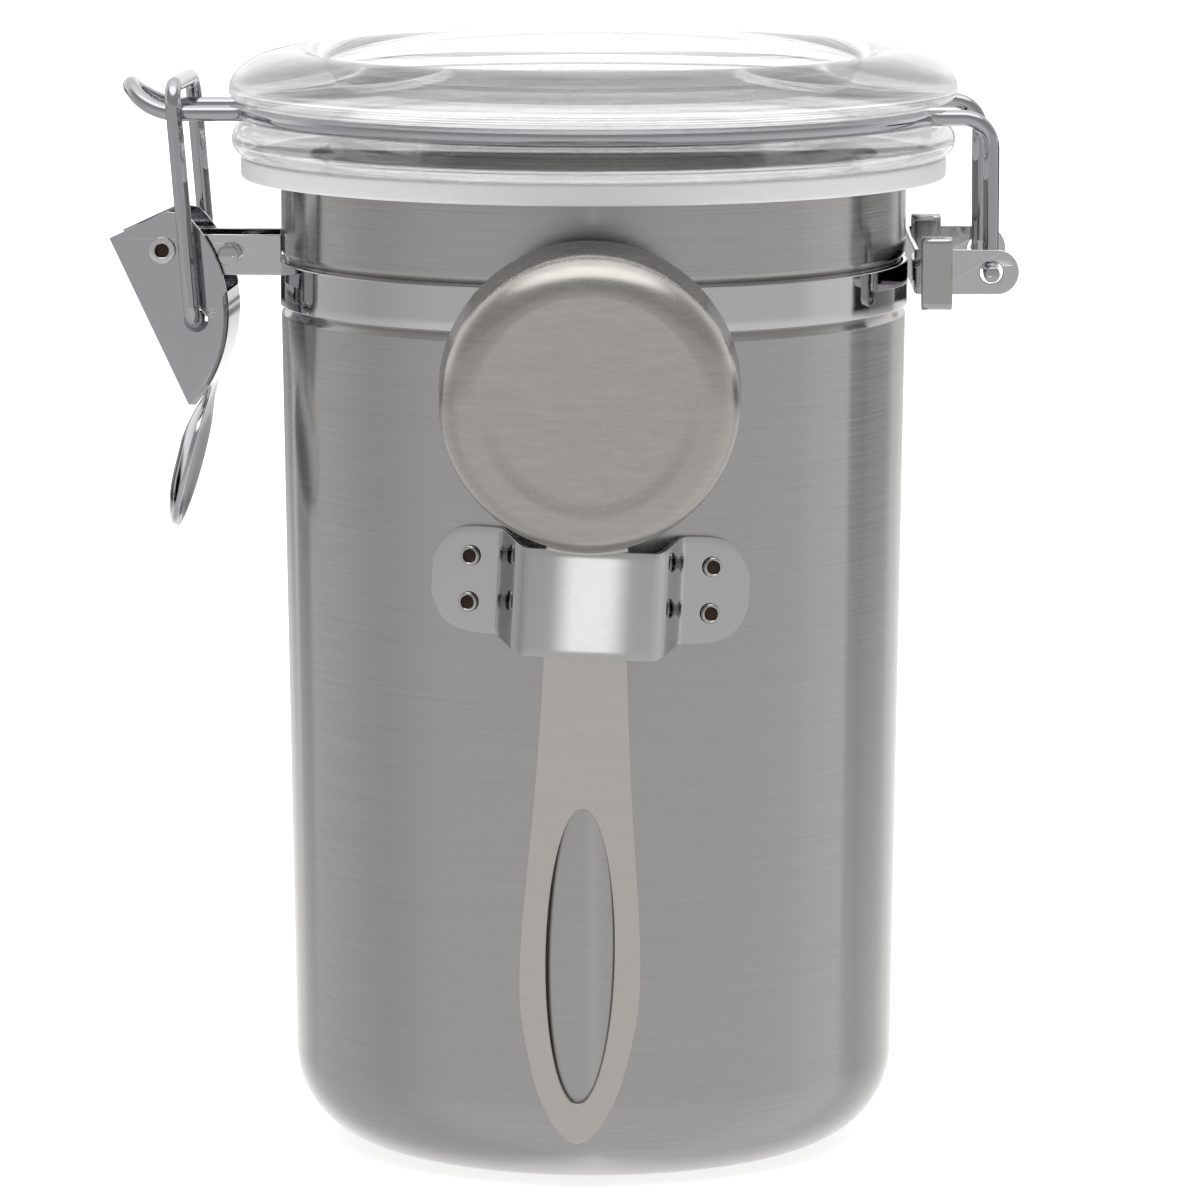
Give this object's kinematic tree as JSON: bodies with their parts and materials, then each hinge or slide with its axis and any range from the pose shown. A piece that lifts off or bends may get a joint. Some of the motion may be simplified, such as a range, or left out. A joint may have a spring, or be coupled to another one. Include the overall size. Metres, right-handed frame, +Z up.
{
  "type": "coffee canister",
  "caption": "Tall round steel coffee canister with a hinged clear lid on a wire bail, an over-centre latch and a scoop held in a strap on its front.",
  "frame": {"origin": "middle of the flat base, on the can's axis", "axes": "+Z up along the can, -Y towards the scoop and the camera, +X towards the lid's hinge, -X towards the latch"},
  "size_m": [0.1587, 0.1459, 0.1935],
  "materials": {
    "brushed_steel": "fine brushing round the can",
    "satin_steel": "satin",
    "polished_steel": "polished stainless steel",
    "chromed_steel": "bright chrome plate",
    "clear_acrylic": "clear, polished",
    "white_silicone": "smooth, slightly translucent"
  },
  "bodies": {
    "canister": {"can_body": "brushed_steel", "clamp_band": "polished_steel", "hinge_bracket": "polished_steel", "hinge_clip_front": "polished_steel", "hinge_clip_rear": "polished_steel", "tie_pin": "polished_steel", "lever_eyelet_front": "polished_steel", "lever_eyelet_rear": "polished_steel", "scoop_strap": "polished_steel", "strap_rivet_left_lower": "polished_steel", "strap_rivet_left_upper": "polished_steel", "strap_rivet_right_lower": "polished_steel", "strap_rivet_right_upper": "polished_steel"},
    "lid": {"lid": "clear_acrylic", "lid_seal": "white_silicone", "bail_wire": "chromed_steel"},
    "lever": {"latch_lever": "chromed_steel"},
    "link": {"latch_link": "chromed_steel"},
    "scoop": {"scoop_bowl": "satin_steel", "scoop_handle": "satin_steel"}
  },
  "joints": [
    {"name": "lid_hinge", "type": "hinge", "parent": "canister", "child": "lid", "pos_m": [0.069, 0, 0.1561], "axis": [0, 1, 0], "range_deg": [0, 200]},
    {"name": "lever_pivot", "type": "hinge", "parent": "canister", "child": "lever", "pos_m": [-0.0748, 0, 0.1588], "axis": [0.0872, 0.9962, 0], "range_deg": [0, 115]},
    {"name": "link_pivot", "type": "hinge", "parent": "lever", "child": "link", "pos_m": [-0.06892, -0.00051, 0.1469], "axis": [0.0872, 0.9962, 0], "range_deg": [-86.25, 0]},
    {"name": "scoop_slide", "type": "slide", "parent": "canister", "child": "scoop", "axis": [0.0175, -0.0663, 0.9976], "range_m": [0, 0.105]}
  ],
  "couplings": [
    {"joint": "link_pivot", "follows": "lever_pivot", "ratio": -0.75}
  ]
}
